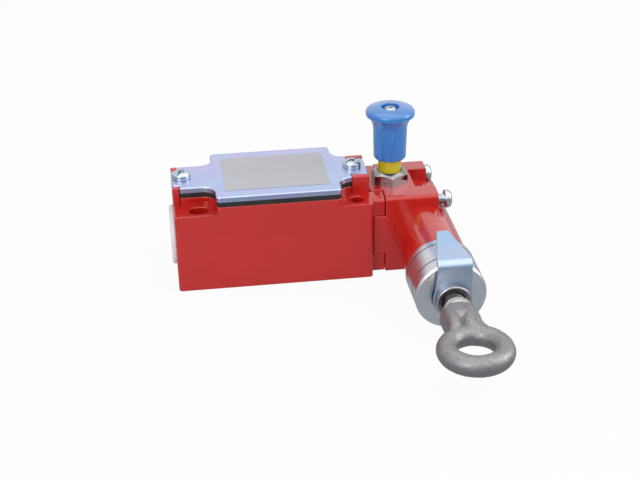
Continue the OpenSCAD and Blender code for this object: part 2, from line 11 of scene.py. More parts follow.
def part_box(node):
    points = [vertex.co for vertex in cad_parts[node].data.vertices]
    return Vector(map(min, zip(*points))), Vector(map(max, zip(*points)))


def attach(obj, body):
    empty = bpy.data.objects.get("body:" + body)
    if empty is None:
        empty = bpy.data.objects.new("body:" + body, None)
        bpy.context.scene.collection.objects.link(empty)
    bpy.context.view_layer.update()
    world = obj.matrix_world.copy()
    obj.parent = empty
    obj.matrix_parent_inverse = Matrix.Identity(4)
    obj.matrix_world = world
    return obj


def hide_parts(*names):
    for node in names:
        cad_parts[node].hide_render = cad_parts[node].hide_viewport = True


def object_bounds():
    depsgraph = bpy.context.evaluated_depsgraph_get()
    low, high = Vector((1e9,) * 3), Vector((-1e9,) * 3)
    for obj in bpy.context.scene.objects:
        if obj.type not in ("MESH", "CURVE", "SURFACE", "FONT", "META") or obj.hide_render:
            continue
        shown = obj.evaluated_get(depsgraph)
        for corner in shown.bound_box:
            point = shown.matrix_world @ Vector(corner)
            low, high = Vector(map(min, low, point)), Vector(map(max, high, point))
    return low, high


MM = 0.001
FULL_TURN = 2 * math.pi
WELD = 0.001 * MM           # vertices nearer than this are one
SKIN = 0.1 * MM             # how near an outer face counts as on it

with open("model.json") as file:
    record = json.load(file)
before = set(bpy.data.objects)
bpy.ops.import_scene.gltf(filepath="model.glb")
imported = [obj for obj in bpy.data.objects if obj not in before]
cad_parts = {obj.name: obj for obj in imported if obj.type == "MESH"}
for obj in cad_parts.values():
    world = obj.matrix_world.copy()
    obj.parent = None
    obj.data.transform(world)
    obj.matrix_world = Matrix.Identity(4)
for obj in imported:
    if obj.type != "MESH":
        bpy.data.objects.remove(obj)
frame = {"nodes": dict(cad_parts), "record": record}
nodes = frame["nodes"]
cad_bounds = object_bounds()


# ---------------------------------------------------------------- where things are

def centre(node):
    low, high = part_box(node)
    return (low + high) / 2


COLLAR_LOW, COLLAR_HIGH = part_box("end_collar")
SPINDLE_X = centre("end_collar").x
AXIS_Z = centre("end_collar").z
KNOB_X = centre("reset_knob").x
EYE_FACE_Y = -74.5 * MM     # where the eye's turned end begins


def along_spindle(y):
    """Places a shape whose +Z is to run along -Y, with its zero at y on the spindle axis."""
    return Matrix.Translation((SPINDLE_X, y, AXIS_Z)) @ Matrix.Rotation(math.radians(90), 4, "X")


def upright(x, y, z, turn=0.0):
    return Matrix.Translation((x, y, z)) @ Matrix.Rotation(math.radians(turn), 4, "Z")


def along_x(x, y, z, turn=0.0):
    """Places a shape whose +Z is to run along +X."""
    return (Matrix.Translation((x, y, z)) @ Matrix.Rotation(math.radians(90), 4, "Y")
            @ Matrix.Rotation(math.radians(turn), 4, "Z"))


# ---------------------------------------------------------------- finishes

class Finish:
    """A procedural material that reads Object coordinates."""

    def __init__(self, name):
        self.material = bpy.data.materials.new(name)
        self.material.use_nodes = True
        self.nodes = self.material.node_tree.nodes
        self.links = self.material.node_tree.links
        self.shader = self.nodes["Principled BSDF"]
        self.place = self.nodes.new("ShaderNodeTexCoord").outputs["Object"]

    def set(self, **sockets):
        for name, value in sockets.items():
            self.shader.inputs[name.replace("_", " ")].default_value = value
        return self

    def moved(self, location=(0, 0, 0), scale=(1, 1, 1)):
        """Object coordinates shifted and stretched for one piece's grain."""
        mapping = self.nodes.new("ShaderNodeMapping")
        mapping.inputs["Location"].default_value = location
        mapping.inputs["Scale"].default_value = scale
        self.links.new(self.place, mapping.inputs["Vector"])
        return mapping.outputs["Vector"]

    def noise(self, size_mm, detail=3.0, roughness=0.55, distortion=0.0, at=None):
        node = self.nodes.new("ShaderNodeTexNoise")
        node.inputs["Scale"].default_value = 1.0 / (size_mm * MM)
        node.inputs["Detail"].default_value = detail
        node.inputs["Roughness"].default_value = roughness
        node.inputs["Distortion"].default_value = distortion
        self.links.new(at or self.place, node.inputs["Vector"])
        return node.outputs["Fac"]

    def grains(self, size_mm):
        node = self.nodes.new("ShaderNodeTexVoronoi")
        node.inputs["Scale"].default_value = 1.0 / (size_mm * MM)
        self.links.new(self.place, node.inputs["Vector"])
        return node.outputs["Distance"]

    @staticmethod
    def rgba(value):
        return (*value, 1) if isinstance(value, tuple) else (value, value, value, 1)

    def attribute(self, name):
        """A face attribute of the piece's own, from 0 to 1."""
        node = self.nodes.new("ShaderNodeAttribute")
        node.attribute_name = name
        return node.outputs["Fac"]

    def ramp(self, source, stops):
        """Colours or greys between stops of (position, value)."""
        node = self.nodes.new("ShaderNodeValToRGB")
        band = node.color_ramp
        while len(band.elements) < len(stops):
            band.elements.new(0.5)
        for element, (position, value) in zip(band.elements, stops):
            element.position = position
            element.color = self.rgba(value)
        self.links.new(source, node.inputs["Fac"])
        return node.outputs["Color"]

    def mixed(self, share, first, second):
        """From the first (a socket) to the second (a colour or a grey) as the share goes from 0 to 1."""
        colour_a, colour_b, colour_out = 6, 7, 2
        node = self.nodes.new("ShaderNodeMix")
        node.data_type = "RGBA"
        self.links.new(share, node.inputs["Factor"])
        self.links.new(first, node.inputs[colour_a])
        node.inputs[colour_b].default_value = self.rgba(second)
        return node.outputs[colour_out]

    def colour(self, source):
        self.links.new(source, self.shader.inputs["Base Color"])
        return self

    def roughness(self, source, low, high):
        self.links.new(self.ramp(source, [(0.25, low), (0.75, high)]), self.shader.inputs["Roughness"])
        return self

    def bump(self, source, depth_mm, strength=1.0):
        """Raises the surface; called again, it adds to what is there."""
        node = self.nodes.new("ShaderNodeBump")
        node.inputs["Distance"].default_value = depth_mm * MM
        node.inputs["Strength"].default_value = strength
        self.links.new(source, node.inputs["Height"])
        before = self.shader.inputs["Normal"]
        if before.is_linked:
            self.links.new(before.links[0].from_socket, node.inputs["Normal"])
        self.links.new(node.outputs["Normal"], before)
        return self


def red_paint():
    f = Finish("red_paint").set(Coat_Weight=1.0, Coat_IOR=1.5, Coat_Roughness=0.06, IOR=1.35)
    f.colour(f.ramp(f.noise(11, 4), [(0.3, (0.50, 0.010, 0.005)), (0.7, (0.53, 0.013, 0.007))]))
    return f.roughness(f.noise(9, 3), 0.30, 0.36).material


def zinc_plate(name, tints, rough=(0.30, 0.42)):
    """Bright zinc whose passivate shimmers between a few tints."""
    f = Finish(name).set(Metallic=1.0)
    tint = f.noise(26, 2, 0.45, 0.6, f.moved(location=(0.013, 0.02, 0)))
    f.colour(f.ramp(tint, list(zip((0.34, 0.48, 0.58, 0.70), tints))))
    f.roughness(f.noise(2.2, 4, 0.6), *rough)
    f.bump(f.noise(0.5, 4, 0.6, 0, f.moved(scale=(0.25, 1, 1))), 0.012, 0.5)
    return f.material


def label_foil():
    f = Finish("label_foil").set(Metallic=0.15)
    f.colour(f.ramp(f.noise(14, 3), [(0.3, (0.45, 0.45, 0.49)), (0.7, (0.48, 0.48, 0.52))]))
    f.roughness(f.noise(2, 3), 0.42, 0.52)
    return f.bump(f.noise(0.2, 2), 0.003, 0.5).material


def plated_steel(name, dark, light, rough):
    f = Finish(name).set(Metallic=1.0)
    f.colour(f.ramp(f.noise(2.5, 4, 0.6), [(0.3, dark), (0.7, light)]))
    f.roughness(f.noise(0.9, 4, 0.6), *rough)
    return f.bump(f.noise(0.4, 4, 0.6), 0.01, 0.5).material


def turned_steel(name, dark, light, scale, rough=(0.24, 0.30)):
    """Fine rings left by the lathe: the grain is stretched everywhere but along the axis.

    It is dark where a face's engraved attribute is 1."""
    f = Finish(name).set(Metallic=1.0)
    rings = f.noise(0.22, 2, 0.5, 0, f.moved(scale=scale))
    metal = f.ramp(f.noise(5, 3), [(0.3, dark), (0.7, light)])
    # Faces marked as grooves take a dark blue-grey: painted shade in the collar's grooves.
    f.colour(f.mixed(f.attribute("groove_shade"), metal, (0.13, 0.16, 0.22)))
    f.roughness(rings, *rough)
    return f.bump(rings, 0.0015, 0.3).material


def forged_steel():
    """Gritty forging scale, and bare turned metal where a face's turned_end attribute is 1."""
    f = Finish("forged_steel").set(Metallic=0.85)
    turned_end = f.attribute("turned_end")
    greys = [(0.30, (0.20, 0.19, 0.195)), (0.50, (0.265, 0.255, 0.265)), (0.72, (0.34, 0.33, 0.34))]
    f.colour(f.mixed(turned_end, f.ramp(f.noise(0.8, 5, 0.65), greys), (0.93, 0.88, 0.73)))
    grit = f.ramp(f.noise(0.5, 5, 0.7), [(0.25, 0.36), (0.75, 0.58)])
    f.links.new(f.mixed(turned_end, grit, 0.3), f.shader.inputs["Roughness"])
    f.bump(f.noise(0.45, 6, 0.75), 0.07, 0.6)
    return f.bump(f.grains(0.5), 0.04, 0.3).material


def moulded(name, dark, light, rough=(0.32, 0.42), coat=0.0, subsurface=0.0):
    f = Finish(name).set(Coat_Weight=coat, Coat_Roughness=0.1, IOR=1.48,
                         Subsurface_Weight=subsurface, Subsurface_Scale=0.002)
    f.colour(f.ramp(f.noise(6, 3), [(0.3, dark), (0.7, light)]))
    f.roughness(f.noise(1.2, 3), *rough)
    return f.bump(f.noise(0.35, 3), 0.006, 0.4).material


FINISHES = {
    "red_paint": red_paint(),
    "zinc_plate": zinc_plate("zinc_plate", ((0.45, 0.55, 0.76), (0.46, 0.51, 0.76), (0.53, 0.51, 0.76),
                                            (0.45, 0.56, 0.75))),
    "zinc_pointer": zinc_plate("zinc_pointer", ((0.35, 0.54, 0.72), (0.40, 0.53, 0.74), (0.44, 0.53, 0.70),
                                                (0.36, 0.56, 0.71)), (0.36, 0.44)),
    "label_foil": label_foil(),
    "screw_steel": plated_steel("screw_steel", (0.42, 0.48, 0.53), (0.58, 0.64, 0.68), (0.22, 0.32)),
    "nickel_plate": plated_steel("nickel_plate", (0.27, 0.26, 0.27), (0.33, 0.32, 0.33), (0.12, 0.18)),
    "zinc_nut": plated_steel("zinc_nut", (0.36, 0.34, 0.36), (0.43, 0.41, 0.43), (0.26, 0.34)),
    "zinc_collar": turned_steel("zinc_collar", (0.63, 0.65, 0.68), (0.71, 0.73, 0.76), (0.04, 1, 0.04),
                                (0.31, 0.34)),
    "bright_steel": turned_steel("bright_steel", (0.42, 0.42, 0.42), (0.56, 0.56, 0.55), (0.05, 1, 0.05)),
    # Near-black steel: painted shadow on the spindle's stud thread between the nut and the eye.
    "shadowed_stud_steel": plated_steel("shadowed_stud_steel", (0.05, 0.05, 0.055), (0.09, 0.09, 0.095), (0.32, 0.42)),
    "spring_steel": plated_steel("spring_steel", (0.30, 0.31, 0.33), (0.42, 0.43, 0.45), (0.3, 0.42)),
    "forged_steel": forged_steel(),
    "brass": plated_steel("brass", (0.55, 0.38, 0.13), (0.70, 0.50, 0.20), (0.22, 0.34)),
    "contact_brass": plated_steel("contact_brass", (0.58, 0.42, 0.18), (0.74, 0.56, 0.28), (0.26, 0.38)),
    "black_rubber": moulded("black_rubber", (0.012, 0.012, 0.013), (0.022, 0.022, 0.023), (0.5, 0.62)),
    "white_plastic": moulded("white_plastic", (0.82, 0.77, 0.81), (0.86, 0.81, 0.85), (0.36, 0.46),
                             subsurface=0.25),
    "grey_plastic": moulded("grey_plastic", (0.035, 0.037, 0.040), (0.055, 0.057, 0.060)),
    "ivory_plastic": moulded("ivory_plastic", (0.66, 0.60, 0.44), (0.72, 0.67, 0.50)),
    "yellow_plastic": moulded("yellow_plastic", (0.54, 0.46, 0.010), (0.62, 0.53, 0.018), (0.24, 0.34),
                              coat=0.2),
    "blue_plastic": moulded("blue_plastic", (0.016, 0.172, 0.54), (0.020, 0.197, 0.59), (0.26, 0.36),
                            coat=1.0),
}
SLOT_OF = {part["node"]: part["material_slot"] for part in frame["record"]["subparts"]}
BODY_OF = {node: body for body, members in frame["record"]["behaviour"]["bodies"].items() for node in members}

for name, node in nodes.items():
    node.data.materials.clear()
    node.data.materials.append(FINISHES[SLOT_OF[name]])


# ---------------------------------------------------------------- mesh helpers

def smooth_shading(bm, angle=32):
    """Rounded faces shade smoothly; edges sharper than the angle stay crisp."""
    limit = math.radians(angle)
    for face in bm.faces:
        face.smooth = True
    for edge in bm.edges:
        edge.smooth = len(edge.link_faces) == 2 and edge.calc_face_angle(math.pi) < limit


def closed(bm):
    bmesh.ops.remove_doubles(bm, verts=bm.verts, dist=WELD)
    bmesh.ops.recalc_face_normals(bm, faces=bm.faces)
    return bm


def as_object(name, bm, finish):
    mesh = bpy.data.meshes.new(name)
    bm.to_mesh(mesh)
    bm.free()
    mesh.materials.append(FINISHES[finish])
    made = bpy.data.objects.new(name, mesh)
    bpy.context.scene.collection.objects.link(made)
    return made


def piece(name, bm, node, angle=32, finish=None):
    """Finishes a mesh as a piece that rides where its CAD node does, and stands for that node."""
    low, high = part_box(node)
    for vert in bm.verts:
        vert.co = [min(max(at, least), most) for at, least, most in zip(vert.co, low, high)]
    smooth_shading(bm, angle)
    made = as_object(name, bm, finish or SLOT_OF[node])
    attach(made, BODY_OF[node])
    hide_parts(node)
    return made


def add(bm, other, place=None):
    """Copies another mesh into this one, in its place, and frees it."""
    if place is not None:
        bmesh.ops.transform(other, matrix=place, verts=other.verts)
    spare = bpy.data.meshes.new("spare")
    other.to_mesh(spare)
    other.free()
    bm.from_mesh(spare)
    bpy.data.meshes.remove(spare)
    return bm


def turned(points, rounds=None, segments=5, steps=96, bored=False):
    """A body of revolution about Z. points are (radius, height) in mm, and rounds gives corners a radius.

    The outline runs from axis to axis, or closes on itself round a bore."""
    bm = bmesh.new()
    verts = [bm.verts.new((r * MM, 0, z * MM)) for r, z in points]
    for a, b in zip(verts, verts[1:] + (verts[:1] if bored else [])):
        bm.edges.new((a, b))
    for index, radius in (rounds or {}).items():
        bmesh.ops.bevel(bm, geom=[verts[index]], offset=radius * MM, offset_type="OFFSET",
                        segments=segments, profile=0.5, affect="VERTICES", material=-1)
    bmesh.ops.spin(bm, geom=bm.verts[:] + bm.edges[:], cent=(0, 0, 0), axis=(0, 0, 1),
                   angle=FULL_TURN, steps=steps, use_merge=True)
    return closed(bm)


def raised(bm, height):
    """Makes every face of a flat mesh the foot of a solid of a height in metres."""
    top = bmesh.ops.extrude_face_region(bm, geom=bm.faces[:])["geom"]
    verts = [part for part in top if isinstance(part, bmesh.types.BMVert)]
    bmesh.ops.translate(bm, vec=(0, 0, height), verts=verts)
    return closed(bm)


def hexagon(flats, height):
    bm = bmesh.new()
    bmesh.ops.create_circle(bm, cap_ends=True, segments=6, radius=flats / math.sqrt(3) * MM)
    return raised(bm, height * MM)


def block(size):
    """A box of size (x, y, z) mm round the origin."""
    bm = bmesh.new()
    bmesh.ops.create_cube(bm, size=1, matrix=Matrix.Diagonal((*(Vector(size) * MM), 1)))
    return bm


def carve(bm, tool, operation="DIFFERENCE"):
    """Cuts one mesh by another, and returns the result as a new mesh without slivers."""
    base = as_object("carve_base", bm, "red_paint")
    cutter = as_object("carve_tool", tool, "red_paint")
    cut = base.modifiers.new("cut", "BOOLEAN")
    cut.operation = operation
    cut.solver = "EXACT"
    cut.object = cutter
    result = evaluated(base)
    remove(base, cutter)
    bmesh.ops.dissolve_degenerate(result, dist=2 * WELD, edges=result.edges)
    return result


def remove(*spent):
    for obj in spent:
        mesh = obj.data
        bpy.data.objects.remove(obj)
        bpy.data.meshes.remove(mesh)


def evaluated(obj):
    """A bmesh of an object with its modifiers applied."""
    bpy.context.view_layer.update()
    graph = bpy.context.evaluated_depsgraph_get()
    shape = obj.evaluated_get(graph)
    mesh = shape.to_mesh()
    bm = bmesh.new()
    bm.from_mesh(mesh)
    shape.to_mesh_clear()
    return bm


def refilled(bm):
    """Fills flat faces that run round a hole with triangles that leave the hole open."""
    covered = {}
    for corners in bm.calc_loop_triangles():
        face = corners[0].face
        covered[face] = covered.get(face, 0) + geometry.area_tri(*(corner.vert.co for corner in corners))
    for face in [face for face, area in covered.items() if area > 1.0005 * face.calc_area() + 1e-9]:
        normal = face.normal.copy()
        rim = [edge for edge in face.edges if len(edge.link_faces) == 2]
        seams = [edge for edge in face.edges if len(edge.link_faces) != 2]
        bmesh.ops.delete(bm, geom=[face], context="FACES_ONLY")
        bmesh.ops.delete(bm, geom=seams, context="EDGES")
        bmesh.ops.triangle_fill(bm, use_beauty=True, use_dissolve=False, edges=rim, normal=normal)
    bmesh.ops.recalc_face_normals(bm, faces=bm.faces)
    return bm


def merged_copy(node):
    """A CAD node's shape with its loose triangles joined into flat faces."""
    bm = bmesh.new()
    bm.from_mesh(nodes[node].data)
    bmesh.ops.remove_doubles(bm, verts=bm.verts, dist=2 * WELD)
    bmesh.ops.dissolve_limit(bm, angle_limit=math.radians(0.6), verts=bm.verts, edges=bm.edges)
    return refilled(bm)


def rounded(bm, width, segments=3, angle=40, weighted=False):
    """Rounds a mesh's sharp edges, all alike or by their bevel weight.

    The mesh is a thousand times larger meanwhile, as very short edges count as none when they are rounded."""
    bmesh.ops.scale(bm, vec=(1 / MM, 1 / MM, 1 / MM), verts=bm.verts)
    large = as_object("rounding_base", bm, "red_paint")
    rounding = large.modifiers.new("rounded_edges", "BEVEL")
    rounding.width = width
    rounding.segments = segments
    rounding.limit_method = "WEIGHT" if weighted else "ANGLE"
    rounding.angle_limit = math.radians(angle)
    rounding.use_clamp_overlap = not weighted
    rounding.loop_slide = False
    result = evaluated(large)
    remove(large)
    bmesh.ops.scale(result, vec=(MM, MM, MM), verts=result.verts)
    return refilled(result)


def flat_faces(made):
    """Keeps large flat faces even up to their rounded edges."""
    normals = made.modifiers.new("flat_faces", "WEIGHTED_NORMAL")
    normals.keep_sharp = True
    return made


def softened(name, node, width, segments=3, finish=None):
    """The CAD node's own shape with rounded edges."""
    return flat_faces(piece(name, rounded(merged_copy(node), width, segments), node, 40, finish))


IN_LINE = 0.9               # the cosine from which two edges count as one line
ROOM_SHARE = 0.38           # how much of its free length a rounded edge may use up


def direction(edge):
    return (edge.verts[1].co - edge.verts[0].co).normalized()


def free_length(edge):
    """How long the shortest edge is that leaves either end of an edge at an angle."""
    run = direction(edge)
    free = math.inf
    for vert in edge.verts:
        for other in vert.link_edges:
            reach = other.other_vert(vert).co - vert.co
            if other is not edge and abs(reach.normalized().dot(run)) < IN_LINE:
                free = min(free, reach.length)
    return free


def evened(bm, weight):
    """Gives edges that carry on from one another the smaller weight, as a rounding of two widths folds."""
    changed = [edge for edge in bm.edges if edge[weight] > 0]
    while changed:
        edge = changed.pop()
        for other in (other for vert in edge.verts for other in vert.link_edges):
            if other[weight] > edge[weight] and abs(direction(edge).dot(direction(other))) > IN_LINE:
                other[weight] = edge[weight]
                changed.append(other)


def cast(name, node, outer, inner, is_outer, is_sharp=lambda at: False, least_room=1.0, bm=None):
    """A casting: its outer edges are rounded more than the ones round its holes, where there is room to."""
    sharp = 40
    bm = bm or merged_copy(node)
    weight = bm.edges.layers.float.new("bevel_weight_edge")
    for edge in bm.edges:
        if len(edge.link_faces) < 2 or edge.calc_face_angle_signed(0) < math.radians(sharp):
            continue
        room = free_length(edge)
        middle = (edge.verts[0].co + edge.verts[1].co) / 2
        if room > least_room * MM and not is_sharp(middle):
            wanted = (outer if is_outer(middle) else inner) * MM
            edge[weight] = min(wanted, ROOM_SHARE * room) / (outer * MM)
    evened(bm, weight)
    return flat_faces(piece(name, rounded(bm, outer, 4, weighted=True), node, sharp))


# ---------------------------------------------------------------- castings, cover and label

BODY_LOW, BODY_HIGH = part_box("body_housing")
HEAD_LOW, HEAD_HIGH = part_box("head_housing")
COVER_LOW, COVER_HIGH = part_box("cover_plate")
GASKET_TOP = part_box("cover_gasket")[1].z


def on_body_outside(at):
    at_side = at.x < BODY_LOW.x + SKIN or abs(at.y) > BODY_HIGH.y - SKIN
    return at_side or at.z < BODY_LOW.z + SKIN or at.z > BODY_HIGH.z - SKIN


def on_post_rounding(at):
    """The small arcs on the posts, between these two distances from the middle."""
    return 7 * MM < abs(at.y) < 10.3 * MM and at.z > GASKET_TOP


def on_head_outside(at):
    across = abs(at.y) > HEAD_HIGH.y - SKIN and at.y > -HEAD_HIGH.y - SKIN
    return across or at.z > HEAD_HIGH.z - SKIN or at.z < HEAD_LOW.z + SKIN


cast("body_casting", "body_housing", 0.75, 0.4, on_body_outside, is_sharp=on_post_rounding)
cast("head_casting", "head_housing", 0.55, 0.35, on_head_outside)

# The cover is its own lower face made thick, with a rounded upper rim.
cover = merged_copy("cover_plate")
upper_faces = [face for face in cover.faces if face.calc_center_median().z > COVER_LOW.z + SKIN]
bmesh.ops.delete(cover, geom=upper_faces, context="FACES")
cast("cover_sheet", "cover_plate", 0.55, 0.3, lambda at: at.z > COVER_HIGH.z - SKIN,
     is_sharp=lambda at: at.z < COVER_LOW.z + SKIN, least_room=0.6,
     bm=raised(cover, COVER_HIGH.z - COVER_LOW.z))
softened("pointer_plate", "tension_pointer", 0.22, finish="zinc_pointer")
softened("label_plate", "rating_label", 0.04, 2)


# ---------------------------------------------------------------- screws

def recess_arms(width, span, depth, slot):
    """Cutters for a combined cross recess and slot; their mouths are at z = 0."""
    for turn in (0, 90):
        arm = block((span, width, 2 * depth))
        low = [v for v in arm.verts if v.co.z < 0]
        bmesh.ops.scale(arm, vec=(0.35, 0.75, 1), verts=low)
        quarter = Matrix.Rotation(math.radians(turn), 3, "Z")
        bmesh.ops.rotate(arm, cent=(0, 0, 0), matrix=quarter, verts=arm.verts)
        yield arm
    yield block((3 * span, slot, 0.8 * depth))


STEPS_PER_TURN = 36


def thread(radius, pitch, length, z_top, depth=0.12):

    """A helical ridge below z_top, in mm; its crest is depth outside the pitch radius, its foot as far inside."""
    bm = bmesh.new()
    turns = length / pitch
    rise = 0.45 * pitch
    profile = [(radius - depth, -rise), (radius + depth, -0.08 * pitch), (radius + depth, 0.08 * pitch),
               (radius - depth, rise)]
    verts = [bm.verts.new((r * MM, 0, (z_top - length + z) * MM)) for r, z in profile]
    for a, b in zip(verts, verts[1:] + verts[:1]):
        bm.edges.new((a, b))
    steps = int(STEPS_PER_TURN * turns)
    bmesh.ops.contextual_create(bm, geom=bm.edges[:])
    face = bm.faces[:]
    bmesh.ops.spin(bm, geom=face + bm.edges[:] + bm.verts[:], cent=(0, 0, 0), axis=(0, 0, 1),
                   dvec=(0, 0, length * MM / steps), angle=FULL_TURN * turns, steps=steps)
    return closed(bm)


def pan_screw(head_r, head_h, shank_r, shank_len):
    """A pan head with a cross recess and a slot, and a plain shank below z = 0."""
    head = turned([(0, 0), (head_r, 0), (head_r, head_h * 0.55), (head_r * 0.8, head_h * 0.92), (0, head_h)],
                  {1: 0.15, 2: 0.45, 3: 0.7}, 4, 64)
    bmesh.ops.triangulate(head, faces=[f for f in head.faces if len(f.verts) > 4])
    for arm in recess_arms(head_r * 0.27, head_r * 1.25, head_h * 0.62, head_r * 0.2):
        bmesh.ops.translate(arm, vec=(0, 0, head_h * MM), verts=arm.verts)
        head = carve(head, arm)
    shank = [(0, -shank_len), (shank_r - 0.3, -shank_len), (shank_r, -shank_len + 0.4), (shank_r, 0.1),
             (0, 0.1)]
    return add(head, turned(shank, steps=48))


cover_screws = bmesh.new()
low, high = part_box("cover_screws")
COVER_SCREW_R = 3.55 * MM
for x, turn in ((low.x + COVER_SCREW_R, 62), (high.x - COVER_SCREW_R, 28)):
    add(cover_screws, pan_screw(3.54, 2.7, 1.75, 8), upright(x, 0, COVER_HIGH.z, turn))
piece("cover_screw_pair", cover_screws, "cover_screws", angle=30)

head_screws = bmesh.new()
low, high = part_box("head_screws")
HEAD_R, HEAD_H, SHANK_R = 3.5, 2.8, 1.85
BACKED_OUT = 3 * MM         # how far the near upper screw stands out
SCREW_OFFSET = (high.y - low.y) / 2 - HEAD_R * MM
SEAT_X = high.x - HEAD_H * MM - BACKED_OUT
for y in (-1, 1):
    for z in (-1, 1):
        out = BACKED_OUT if (y, z) == (-1, 1) else 0
        screw = pan_screw(HEAD_R, HEAD_H, SHANK_R, 27.2)
        add(screw, thread(SHANK_R, 0.7, 6.5, -0.6 if out else -20))
        turn = 35 + 50 * y + 20 * z
        add(head_screws, screw, along_x(SEAT_X + out, y * SCREW_OFFSET, AXIS_Z + z * SCREW_OFFSET, turn))
piece("head_screw_set", head_screws, "head_screws", angle=30)


# ---------------------------------------------------------------- reset knob

KNOB_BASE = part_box("reset_knob")[0].z
SLEEVE_R, SLEEVE_DEPTH = 4.85, 9.3
RIM_R = 9.395
RECESS_R, RECESS_FLOOR = 3.45, 19
knob = turned([(0, SLEEVE_DEPTH), (SLEEVE_R, SLEEVE_DEPTH), (SLEEVE_R, 0), (6.25, 0), (6.6, 14.5),
               (8.55, 17.2), (RIM_R, 17.7), (RIM_R, 19.75), (7.2, 20.4), (5.2, 20.78), (RECESS_R, 20.85),
               (RECESS_R, RECESS_FLOOR), (0, RECESS_FLOOR)],
              {3: 0.8, 4: 2.2, 5: 0.8, 6: 0.8, 7: 0.95, 8: 1.2, 10: 0.25}, 6)
piece("knob_moulding", add(bmesh.new(), knob, upright(KNOB_X, 0, KNOB_BASE)), "reset_knob")
screw = pan_screw(2.4, 1.7, 1.2, 6)
on_floor = upright(KNOB_X, 0, KNOB_BASE + RECESS_FLOOR * MM, 20)
piece("knob_fixing", add(bmesh.new(), screw, on_floor), "knob_screw", angle=30)

BUSH_H, BUSH_FOOT = 4.9, 7.4
bush_chamfer = turned([(0, -1), (9, -1), (9, 2.2), (7.5, 3.35), (5.75, 4.65), (5.3, BUSH_H), (0, BUSH_H)],
                      {3: 0.8, 4: 0.5})
bush = carve(hexagon(12.99, BUSH_H), bush_chamfer, "INTERSECT")
bush = carve(bush, turned([(0, 3.7), (4.5, 3.7), (4.5, 4.4), (5.1, 5), (5.1, 6), (0, 6)]))
add(bush, turned([(3.9, -BUSH_FOOT), (5.4, -BUSH_FOOT), (5.4, 0.5), (3.9, 0.5)], bored=True))
bush = rounded(bush, 0.12, 2, 24)
on_head = upright(KNOB_X, 0, HEAD_HIGH.z)
flat_faces(piece("bush_hexagon", add(bmesh.new(), bush, on_head), "reset_bush", angle=24))


# ---------------------------------------------------------------- entry plug

PLUG_LOW, PLUG_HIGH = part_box("entry_plug")
PLUG_R = (PLUG_HIGH.z - PLUG_LOW.z) / 2 / MM
FLANGE, SHANK_END = 1.7, 9.65
SHANK_OUTER, SHANK_INNER = 9.2, 7.6
plug = turned([(0, 0), (PLUG_R - 0.1, 0), (PLUG_R, FLANGE), (SHANK_OUTER, FLANGE), (SHANK_OUTER, SHANK_END),
               (SHANK_INNER, SHANK_END), (SHANK_INNER, FLANGE + 0.05), (0, FLANGE + 0.05)],
              {1: 0.9, 2: 0.25, 3: 0.2, 4: 0.3}, 5)
plug = carve(plug, block((1.8, 14, 1.6)))
add(plug, thread(SHANK_OUTER - 0.1, 1.5, 5.5, 8.6, 0.1))
piece("plug_flange", add(bmesh.new(), plug, along_x(PLUG_LOW.x, 0, centre("entry_plug").z)), "entry_plug")


# ---------------------------------------------------------------- collar, nut and spindle

COLLAR_LEN = (COLLAR_HIGH.y - COLLAR_LOW.y) / MM
COLLAR_R = (COLLAR_HIGH.x - COLLAR_LOW.x) / 2 / MM - 0.01
CHAMFER = 0.7
LINE_DEPTH = 0.5
LINES_AT = (3.5, 13.4)
MOUTH_R, MOUTH_AT, SEAL_R, SEAL_AT = 7, 14, 9, 11.2
BARREL_R = 10.5             # the barrel's end that the collar goes over
lines = [corner for at in LINES_AT for corner in
         ((COLLAR_R, at - 0.26), (COLLAR_R - LINE_DEPTH, at - 0.1), (COLLAR_R - LINE_DEPTH, at + 0.1),
          (COLLAR_R, at + 0.26))]
collar = turned([(BARREL_R, SEAL_AT), (BARREL_R, 0), (COLLAR_R - 0.4, 0), (COLLAR_R, 0.4), *lines,
                 (COLLAR_R, COLLAR_LEN - CHAMFER), (COLLAR_R - CHAMFER, COLLAR_LEN), (MOUTH_R, COLLAR_LEN),
                 (MOUTH_R, MOUTH_AT), (SEAL_R, MOUTH_AT), (SEAL_R, SEAL_AT)],
                {2: 0.15, 3: 0.15, 12: 0.18, 13: 0.15, 14: 0.2}, 4, 160, bored=True)
# The faces inside the two grooves are marked for painted shade.
groove_shade = collar.faces.layers.float.new("groove_shade")
for face in collar.faces:
    at = face.calc_center_median() / MM
    sunk = COLLAR_R - math.hypot(at.x, at.y)
    if 0.05 < sunk < LINE_DEPTH + 0.1 and LINES_AT[0] - 0.5 < at.z < LINES_AT[1] + 0.6:
        face[groove_shade] = 1.0
piece("turned_collar", add(bmesh.new(), collar, along_spindle(COLLAR_HIGH.y)), "end_collar", angle=26)

NUT_LOW, NUT_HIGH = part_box("lock_nut")
NUT_H = (NUT_HIGH.y - NUT_LOW.y) / MM
NUT_R, NUT_BORE = 6.47, 4.02
nut = hexagon(12.98, NUT_H)
nut_outline = [(0, -1), (NUT_R, -1), (NUT_R, NUT_H - 0.3), (NUT_R - 0.3, NUT_H), (0, NUT_H)]
nut_bore = [(0, -1), (NUT_BORE, -1), (NUT_BORE, NUT_H - 0.6), (4.45, NUT_H - 0.1), (4.45, 5), (0, 5)]
nut = carve(nut, turned(nut_outline), "INTERSECT")
nut = carve(nut, turned([(0, NUT_H - 0.18), (5.35, NUT_H - 0.18), (5.53, NUT_H + 0.05), (5.53, 5), (0, 5)]))
nut = carve(nut, turned(nut_bore))
nut = rounded(nut, 0.06, 2, 24)
place = along_spindle(NUT_HIGH.y) @ Matrix.Rotation(math.radians(30), 4, "Z")
flat_faces(piece("locking_nut", add(bmesh.new(), nut, place), "lock_nut", angle=24))

